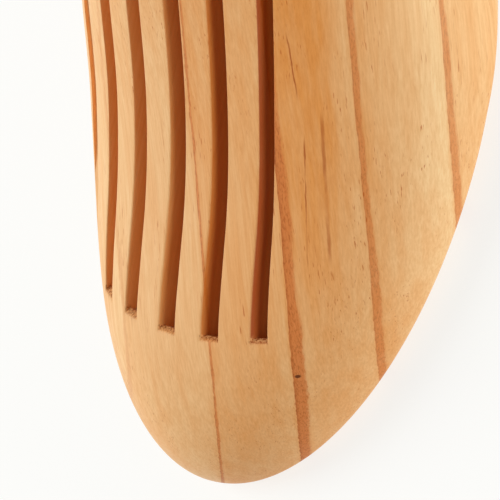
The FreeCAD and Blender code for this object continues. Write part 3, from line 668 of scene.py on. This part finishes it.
def colour(red, green, blue):
    """Linear colour from the 0 to 255 values that a screen shows."""
    screen = np.array([red, green, blue]) / 255
    linear = np.where(screen <= 0.04045, screen / 12.92, ((screen + 0.055) / 1.055) ** 2.4)
    return (*linear.tolist(), 1.0)


# Pine: growth rings are flat sheets, wide apart, square to this direction; places are along it
RING_NORMAL = Vector((-0.2771, 0.6794, -0.6794))
GRAIN = (Vector((1, 0, 0)) - RING_NORMAL * RING_NORMAL.x).normalized()
RING_CROSS = RING_NORMAL.cross(GRAIN)
RING_LOW = -95.0 * MM
RING_HIGH = 65.0 * MM
# Each latewood band: where its sharp edge lies, its width, how dark it is,
# and how warm the wood beyond it starts and ends; a band without any dark is a change of warmth alone
RINGS = (
    (-63.6 * MM, 1.0 * MM, 0.70, 0.64, 0.46),
    (-48.9 * MM, 0.8 * MM, 0.60, 0.59, 0.23),
    (-33.7 * MM, 0.5 * MM, 0.22, 0.37, 0.43),
    (-19.2 * MM, 0.45 * MM, 0.75, 0.68, 0.60),
    (-5.5 * MM, 1.90 * MM, 0.85, 0.92, 0.90),
    (4.6 * MM, 1.0 * MM, 0.0, 0.88, 0.44),
    # Beyond this band the wood starts paler, partly the wood's own tone and partly painted light where the
    # softboxes light the block too little
    (9.0 * MM, 1.35 * MM, 0.65, 0.74, 0.03),
    (24.4 * MM, 1.4 * MM, 0.62, 0.37, 0.41),
    (40.2 * MM, 0.9 * MM, 0.70, 0.55, 0.41),
)
# Each stray dark line: where it starts and ends along the grain, its places across the rings there,
# its half width and how dark it is
STRAY_LINES = (
    (-6.0 * MM, 7.0 * MM, -1.75 * MM, -0.65 * MM, 0.20 * MM, 0.9),
    (12.0 * MM, 36.0 * MM, -0.1 * MM, -1.5 * MM, 0.18 * MM, 0.8),
    (8.5 * MM, 35.0 * MM, 3.1 * MM, 2.45 * MM, 0.45 * MM, 0.62),
)
STRAY_FADE = 3.0 * MM
# How far the bands wander over a long way, and how ragged their edges are
SWAY = 1.4 * MM
RAGGED = 0.5 * MM
# A band's crisp step, the half length of its soft end and its dark edge, the last two in band widths
BAND_STEP = (-0.06 * MM, 0.02 * MM)
BAND_END = 0.2
BAND_EDGE = (0.05, 0.3)
# Between two bands the wood is paler towards the tip: across the rings, along the grain, and how much
PALE_START = (-8 * MM, -3 * MM)
PALE_END = (4 * MM, 9 * MM)
PALE_ALONG = (10 * MM, 48 * MM)
PALE_WARMTH = -0.3
FLECK_STRENGTH = 0.65
# Sizes of the wood's uneven features, along the grain and across it
FIBRE_SIZE = (16 * MM, 0.35 * MM)
SPECKLE_SIZE = (0.9 * MM, 0.3 * MM)
RAGGED_SIZE = (5 * MM, 0.5 * MM)
SWAY_SIZE = (45 * MM, 22 * MM)
SWELL_SIZE = (13 * MM, 20 * MM)
BREAK_SIZE = (7 * MM, 3 * MM)
DRIFT_SIZE = (22 * MM, 1.6 * MM)
BROAD_SIZE = (55 * MM, 8 * MM)
DASH_SIZE = (5.5 * MM, 0.26 * MM)
PATCH_SIZE = (14 * MM, 5 * MM)
# Pin knot in the toe's bold band: its place across the rings and along the grain, and its half sizes
KNOT_RING, KNOT_ALONG = -4.62 * MM, 53.2 * MM
KNOT_HALF_WIDTH, KNOT_HALF_LENGTH = 0.55 * MM, 0.3 * MM
EARLYWOOD = colour(255, 213, 156)
WARM_EARLYWOOD = colour(236, 156, 79)
LATEWOOD = colour(220, 126, 60)
DARK_LATEWOOD = colour(178, 86, 26)
FLECK = colour(190, 86, 16)
KNOT = colour(96, 44, 16)
SAWN_FRESH = colour(237, 175, 115)
# Painted shade in the slots: share of each colour that is left where the shade is full
SLOT_SHADE_SHARES = (0.55, 0.183, 0.017)
SAWN_DEPTH = 4.0 * MM
# Painted shade by the place across the block: on the walls, at most on the floors, and times this near the
# rims;
# on the big toe's side the cut, sawn colour under painted shade, fades into the skin
SLOT_SHADE_ACROSS = (-4 * MM, 25 * MM)
SLOT_SHADE_RANGE = (0.08, 1.0)
SLOT_FLOOR_SHADE = 0.35
RIM_ACROSS = (13 * MM, 24 * MM)
SLOT_RIM_SHADE = (0.75, 1.4)
CUT_ACROSS = (-25 * MM, -13 * MM)
CUT_RANGE = (0.1, 0.85)
SAWN_FIBRES = (60, 1400, 1400)
TORN_CRUMBS = 2600.0
TORN_STRENGTH = 0.85
# Darker streaks take this power of red, green and blue
STREAK_POWERS = (0.6, 1.1, 1.7)
# Torn wood at the slots' ends: pale fibres and, between them, painted shade in the hollows
TORN_FIBRE = colour(232, 172, 110)
TORN_HOLLOW_SHADE = colour(164, 92, 42)
BEECH = colour(214, 156, 98)
DARK_BEECH = colour(190, 126, 72)
BEECH_PORE = colour(120, 70, 36)
IVORY = colour(232, 226, 208)
DULL_IVORY = colour(222, 214, 194)
PLATE, DARK_PLATE = colour(214, 210, 202), colour(190, 186, 178)
ZINC, DARK_ZINC = colour(176, 178, 180), colour(146, 148, 150)
STEEL, DARK_STEEL = colour(120, 118, 114), colour(92, 90, 88)
# Heel and knob are cut from another part of the board, this far across the rings
HEEL_RING_SHIFT = 11.0 * MM


def new_group(name, inputs, outputs):
    """Empty shader node group with typed sockets; returns its graph, inputs and output node."""
    tree = bpy.data.node_groups.new(name, "ShaderNodeTree")
    for kind, in_out in ((inputs, "INPUT"), (outputs, "OUTPUT")):
        for label, socket in kind:
            tree.interface.new_socket(label, in_out=in_out, socket_type=socket)
    graph = Graph(tree)
    entry = graph.add("NodeGroupInput")
    exit_node = graph.add("NodeGroupOutput")
    return graph, entry.outputs, exit_node


def pine_group():
    """Pine figure: latewood bands, warm and pale earlywood, stray lines, fine fibres and resin flecks."""
    inputs = [("Place", "NodeSocketVector"), ("Ring shift", "NodeSocketFloat")]
    outputs = [("Colour", "NodeSocketColor")]
    outputs += [("Roughness", "NodeSocketFloat"), ("Height", "NodeSocketFloat")]
    graph, entry, exit_node = new_group("pine_figure", inputs, outputs)
    along = graph.dot(entry["Place"], GRAIN)
    ring = graph.plus(graph.dot(entry["Place"], RING_NORMAL), entry["Ring shift"])
    cross = graph.dot(entry["Place"], RING_CROSS)

    def fibre_noise(size, detail=2.0, rough=0.5):
        length, width = size
        ways = ((along, length), (ring, width), (cross, width))
        return graph.noise(graph.combine(*[graph.math("DIVIDE", *way) for way in ways]), detail, rough)

    fibre = fibre_noise(FIBRE_SIZE, 3.0, 0.6)
    speckle = fibre_noise(SPECKLE_SIZE, 2.0, 0.7)
    frayed = graph.plus(ring, graph.math("MULTIPLY_ADD", fibre_noise(RAGGED_SIZE), RAGGED, -RAGGED / 2))
    place = graph.plus(frayed, graph.math("MULTIPLY_ADD", fibre_noise(SWAY_SIZE), SWAY, -SWAY / 2))
    swell = graph.span(fibre_noise(SWELL_SIZE), 0.3, 0.7, -0.17, 0.17)
    swell = graph.plus(swell, graph.span(fibre, 0.25, 0.75, -0.22, 0.22, way="LINEAR"))
    swell = graph.plus(swell, graph.span(along, 0.0, 50 * MM, 0.72, 1.02))
    late, late_edge = latewood(graph, place, swell)
    stray = stray_lines(graph, along, frayed)
    stray = graph.times(stray, graph.span(fibre_noise(BREAK_SIZE), 0.35, 0.6, 0.3, 1.0))

    ramp = graph.add("ShaderNodeValToRGB", {0: graph.span(place, RING_LOW, RING_HIGH, way="LINEAR")})
    fill_warmth_ramp(ramp.color_ramp)
    drift = graph.span(fibre_noise(DRIFT_SIZE), 0.3, 0.7, -0.08, 0.08)
    drift = graph.plus(drift, graph.span(fibre_noise(BROAD_SIZE), 0.3, 0.7, -0.075, 0.075))
    paler = graph.times(graph.span(ring, *PALE_START), graph.span(ring, *PALE_END, 1.0, 0.0))
    paler = graph.times(paler, graph.span(along, *PALE_ALONG, 0.0, PALE_WARMTH))
    warm = graph.plus(ramp.outputs["Color"], graph.plus(drift, paler))
    dash = graph.span(fibre_noise(DASH_SIZE, 1.0), 0.65, 0.74)
    patch = graph.span(fibre_noise(PATCH_SIZE, 1.0), 0.46, 0.62)
    fleck = graph.times(dash, patch)

    ground = graph.mix(graph.clamp(warm), EARLYWOOD, WARM_EARLYWOOD)
    darker = graph.math("MULTIPLY_ADD", late_edge, 0.5, graph.span(speckle, 0.45, 0.7, 0.0, 0.7))
    late_tint = graph.mix(graph.clamp(darker), LATEWOOD, DARK_LATEWOOD)
    wood = graph.mix(late, ground, late_tint)
    wood = graph.mix(stray, wood, DARK_LATEWOOD)
    streak = graph.span(fibre, 0.2, 0.8, 0.885, 1.085)
    streak = graph.times(streak, graph.span(speckle, 0.3, 0.7, 1.02, 0.97))
    shade = graph.combine(*[graph.math("POWER", streak, power) for power in STREAK_POWERS])
    wood = graph.mix(1.0, wood, shade, "MULTIPLY")
    wood = graph.mix(graph.times(fleck, FLECK_STRENGTH), wood, FLECK)
    wood = graph.mix(pin_knot(graph, ring, along), wood, KNOT)
    rough = graph.span(fibre, 0.2, 0.8, 0.62, 0.48)
    graph.feed(exit_node, {"Colour": wood, "Roughness": rough, "Height": fibre})
    return graph.tree


def latewood(graph, place, swell):
    """Masks of the bands and of their dark edges: each starts with a crisp step and ends softly.

    swell says how far each band reaches, as a share of its width.
    """
    bands, edges = 0.0, 0.0
    for start, width, dark, _, _ in RINGS:
        within = graph.math("MULTIPLY_ADD", place, 1 / width, -start / width)
        sharp = graph.span(within, *[step / width for step in BAND_STEP], 0.0, dark)
        soft = graph.span(graph.math("SUBTRACT", within, swell), -BAND_END, BAND_END, 1.0, 0.0)
        edge = graph.span(within, *BAND_EDGE, 1.0, 0.0)
        bands = graph.math("MAXIMUM", graph.times(sharp, soft), bands)
        edges = graph.math("MAXIMUM", graph.times(sharp, edge), edges)
    return bands, edges


def stray_lines(graph, along, frayed):
    """Mask of the stray dark lines: each runs straight between its ends and fades out at both."""
    stray = 0.0
    for start, end, first, last, half, dark in STRAY_LINES:
        middle = graph.span(along, start, end, first, last, way="LINEAR")
        away = graph.math("ABSOLUTE", graph.math("SUBTRACT", frayed, middle))
        line = graph.span(away, 0.2 * half, half, dark, 0.0)
        line = graph.times(line, graph.span(along, start, start + STRAY_FADE))
        line = graph.times(line, graph.span(along, end - STRAY_FADE, end, 1.0, 0.0))
        stray = graph.math("MAXIMUM", line, stray)
    return stray


def pin_knot(graph, ring, along):
    """Mask of the pin knot: an ellipse, from the squares of both distances in half sizes."""
    squares = 0.0
    for way, middle, half in ((ring, KNOT_RING, KNOT_HALF_WIDTH), (along, KNOT_ALONG, KNOT_HALF_LENGTH)):
        away = graph.math("MULTIPLY_ADD", way, 1 / half, -middle / half)
        squares = graph.math("MULTIPLY_ADD", away, away, squares)
    return graph.span(squares, 0.4, 1.3, 0.9, 0.0)


def fill_warmth_ramp(ramp):
    """Warmth across the rings: it starts afresh at each band's sharp edge and runs evenly to the next."""
    edge = 0.4 * MM
    stops = []
    ends = [ring[0] for ring in RINGS[1:]] + [RING_HIGH]
    for (start, _, _, first, last), end in zip(RINGS, ends):
        stops += [(start, first), (end - edge, last)]
    shares = [((place - RING_LOW) / (RING_HIGH - RING_LOW), warm) for place, warm in stops]
    points = ramp.elements
    points[0].position, points[1].position = shares[0][0], shares[-1][0]
    for share, _ in shares[1:-1]:
        points.new(share)
    for point, (share, warm) in zip(points, shares):
        point.position = share
        point.color = (warm, warm, warm, 1.0)


def new_material(name):
    """Material with a Principled shader; returns it, its graph, the shader and Object coordinates."""
    material = bpy.data.materials.new(name)
    material.use_nodes = True
    graph = Graph(material.node_tree)
    shader = material.node_tree.nodes["Principled BSDF"]
    place = graph.add("ShaderNodeTexCoord").outputs["Object"]
    return material, graph, shader, place


def pine_material(name, group, ring_shift, sawn):
    """Oiled pine; sawn is True for the toe block, whose slots get painted shade darker than its skin."""
    material, graph, shader, place = new_material(name)
    figure = graph.add("ShaderNodeGroup", {"Place": place, "Ring shift": ring_shift}, node_tree=group)
    tint = figure.outputs["Colour"]
    graph.feed(shader, {
        "Base Color": sawn_and_shaded_tint(graph, place, tint) if sawn else tint,
        "Roughness": figure.outputs["Roughness"],
        "Normal": graph.bump(figure.outputs["Height"], 0.2, 0.06 * MM),
        "Specular IOR Level": 0.15,
        "Sheen Weight": 0.1,
        "Sheen Roughness": 0.4,
    })
    return material


def sawn_and_shaded_tint(graph, place, skin):
    """Colour of the toe block: its skin's, the slots' sawn walls under painted shade and the torn wood at
    their ends.

    The painted shade deepens towards the little toe's side and is weaker on the floors. What it leaves of
    each colour of the fresh wood is that colour's share to the power of the shade.
    """
    depth = graph.attribute("slot_depth")
    across = graph.dot(place, (0, 1, 0))
    fibres = graph.stretched_noise(place, SAWN_FIBRES, 3.0)
    # Painted shade in the slots: darker towards the little toe's side, weaker on the floors, stronger near
    # the rims on that side
    painted_shade = graph.span(across, *SLOT_SHADE_ACROSS, *SLOT_SHADE_RANGE)
    painted_shade = graph.span(depth, 0.5, 0.9, painted_shade, graph.math("MINIMUM", painted_shade, SLOT_FLOOR_SHADE))
    near_rim = graph.span(across, *RIM_ACROSS, *SLOT_RIM_SHADE)
    painted_shade = graph.times(painted_shade, graph.span(depth, 0.1, 0.45, near_rim, 1.0))
    painted_shade = graph.plus(painted_shade, graph.span(fibres, 0.3, 0.7, -0.05, 0.05))
    left = graph.combine(*[graph.math("POWER", share, painted_shade) for share in SLOT_SHADE_SHARES])
    cut = graph.mix(1.0, SAWN_FRESH, left, "MULTIPLY")
    wall = graph.times(graph.span(depth, 0.0, 0.09), graph.span(across, *CUT_ACROSS, *CUT_RANGE))
    tint = graph.mix(wall, skin, cut)
    crumbs = graph.noise(place, scale=TORN_CRUMBS)
    # Painted shade in the torn wood's hollows, as dark specks among the pale fibres
    frayed = graph.mix(graph.span(crumbs, 0.42, 0.56), TORN_HOLLOW_SHADE, TORN_FIBRE)
    return graph.mix(graph.times(graph.attribute("torn_end"), TORN_STRENGTH), tint, frayed)


def brushed_group():
    """Brushed metal: fine lines round the tubes, cut by the x place, and broad dull patches."""
    outputs = [("Tone", "NodeSocketFloat"), ("Roughness", "NodeSocketFloat"), ("Height", "NodeSocketFloat")]
    graph, entry, exit_node = new_group("brushed_metal", [("Place", "NodeSocketVector")], outputs)
    lines = graph.stretched_noise(entry["Place"], (9000, 120, 120))
    dull = graph.stretched_noise(entry["Place"], (90, 140, 140), 3.0)
    tone = graph.plus(graph.times(lines, 0.6), graph.times(dull, 0.4))
    rough = graph.plus(graph.span(lines, 0.3, 0.7, 0.0, 0.1), graph.span(dull, 0.3, 0.7, 0.2, 0.34))
    graph.feed(exit_node, {"Tone": tone, "Roughness": rough, "Height": lines})
    return graph.tree


def metal_material(name, group, light, dark):
    """Plated steel with brushing."""
    material, graph, shader, place = new_material(name)
    brushed = graph.add("ShaderNodeGroup", {"Place": place}, node_tree=group)
    graph.feed(shader, {
        "Base Color": graph.mix(graph.span(brushed.outputs["Tone"], 0.35, 0.65), dark, light),
        "Roughness": brushed.outputs["Roughness"],
        "Normal": graph.bump(brushed.outputs["Height"], 0.15, 0.02 * MM),
        "Metallic": 1.0,
    })
    return material


def nylon_material():
    """Ivory nylon, faintly mottled, with a fine moulded grain."""
    material, graph, shader, place = new_material("ivory_nylon")
    mottle = graph.noise(place, 3.0, scale=180.0)
    grain = graph.noise(place, scale=2600.0)
    graph.feed(shader, {
        "Base Color": graph.mix(graph.span(mottle, 0.35, 0.65), IVORY, DULL_IVORY),
        "Roughness": graph.span(mottle, 0.3, 0.7, 0.38, 0.5),
        "Normal": graph.bump(grain, 0.2, 0.03 * MM),
    })
    return material


def dowel_material():
    """End grain of a turned beech plug: tight dark pores and soft rings across the dowel."""
    material, graph, shader, place = new_material("beech_end_grain")
    pores = graph.noise(place, 1.0, scale=3600.0)
    rings = graph.stretched_noise(place, (900, 0, 260))
    ground = graph.mix(graph.span(rings, 0.35, 0.65), BEECH, DARK_BEECH)
    graph.feed(shader, {
        "Base Color": graph.mix(graph.span(pores, 0.58, 0.7, 0.0, 0.8), ground, BEECH_PORE),
        "Roughness": graph.span(pores, 0.3, 0.7, 0.5, 0.65),
        "Normal": graph.bump(pores, 0.25, 0.05 * MM),
    })
    return material


def place_piece(piece, body, material, finish, *nodes):
    """Dress a piece, let it ride on its body and stand for its nodes."""
    dress(piece, material)
    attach(piece, body)
    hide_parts(*nodes)
    return piece


def dress(piece, material):
    """Give a piece one material."""
    piece.data.materials.clear()
    piece.data.materials.append(material)


def camera():
    """Long lens at the photograph's angle: tilted over the little toe's side, toe down, a little rolled."""
    turn = math.cos(VIEW_ROLL)
    roll = math.sin(VIEW_ROLL)
    sideways = math.sin(VIEW_TILT)
    right = Vector((-roll, turn * sideways, -turn * sideways))
    up = Vector((-turn, -roll * sideways, roll * sideways))
    back = right.cross(up)
    lens = bpy.data.cameras.new("camera")
    lens.lens = LENS
    lens.sensor_width = SENSOR
    lens.clip_end = VIEW_FAR_END
    place = bpy.data.objects.new("camera", lens)
    turned = Matrix((right, up, back)).transposed().to_4x4()
    distance = VIEW_WIDTH * LENS / SENSOR
    place.matrix_world = Matrix.Translation(VIEW_POINT + back * distance) @ turned
    bpy.context.scene.collection.objects.link(place)
    bpy.context.scene.camera = place


def area_light(name, place, size, power):
    """Large square softbox that faces the lit point."""
    light = bpy.data.lights.new(name, "AREA")
    light.shape = "SQUARE"
    light.size = size
    light.energy = power
    box = bpy.data.objects.new(name, light)
    way = Vector(LIT_POINT) - Vector(place)
    box.matrix_world = Matrix.Translation(place) @ way.to_track_quat("-Z", "Y").to_matrix().to_4x4()
    bpy.context.scene.collection.objects.link(box)


def studio():
    """Pale floor, pale even surroundings and the softboxes."""
    corners = FLOOR_HALF * np.array([(-1, -1, 0), (1, -1, 0), (1, 1, 0), (-1, 1, 0)])
    mesh = bpy.data.meshes.new("floor")
    mesh.from_pydata((corners - (0, 0, FLOOR_GAP)).tolist(), [], [(0, 1, 2, 3)])
    floor = bpy.data.objects.new("floor", mesh)
    bpy.context.scene.collection.objects.link(floor)
    material, graph, shader, place = new_material("pale_floor")
    graph.feed(shader, {
        "Base Color": graph.mix(graph.noise(place, scale=3.0), *FLOOR_TONES),
        "Emission Color": FLOOR_GLOW,
        "Emission Strength": FLOOR_GLOW_STRENGTH,
        "Roughness": 0.8,
    })
    dress(floor, material)
    world = bpy.data.worlds.new("studio")
    world.use_nodes = True
    sky = world.node_tree.nodes["Background"]
    sky.inputs["Color"].default_value = SURROUNDINGS
    sky.inputs["Strength"].default_value = SURROUNDINGS_STRENGTH
    bpy.context.scene.world = world
    for name, (place, size, power) in SOFTBOXES.items():
        area_light(name, place, size, power)
    bpy.context.scene.view_settings.view_transform = "Standard"


pine_figure = pine_group()
brushing = brushed_group()
toe_pine = pine_material("toe_pine", pine_figure, 0.0, True)
heel_pine = pine_material("heel_pine", pine_figure, HEEL_RING_SHIFT, False)
beech = dowel_material()
bright_plate = metal_material("bright_plate", brushing, PLATE, DARK_PLATE)
dull_zinc = metal_material("dull_zinc", brushing, ZINC, DARK_ZINC)
spring_steel = metal_material("spring_steel", brushing, STEEL, DARK_STEEL)
ivory_nylon = nylon_material()

place_piece(toe_block(), "forepart", toe_pine, "pine", "toe_block")
place_piece(plug_skin("little_toe_side_plug", +1), "forepart", beech, "dowel", "pin_plug_little_toe_side")
place_piece(plug_skin("big_toe_side_plug", -1), "forepart", beech, "dowel", "pin_plug_big_toe_side")
place_piece(heel_block(), "heel", heel_pine, "pine", "heel_block")
spring = place_piece(spring_coil(), "stem", spring_steel, "steel", "spring")
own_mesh(spring)

FINISHES = {
    "knob": heel_pine,
    "rear_bush": ivory_nylon, "front_bush": ivory_nylon, "pivot_washers": ivory_nylon,
    "inner_tube": bright_plate, "outer_tube": bright_plate, "collar": bright_plate,
    "ferrule": bright_plate, "knob_washer": bright_plate,
}
for name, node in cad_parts.items():
    dress(node, FINISHES.get(name, dull_zinc))

camera()
studio()
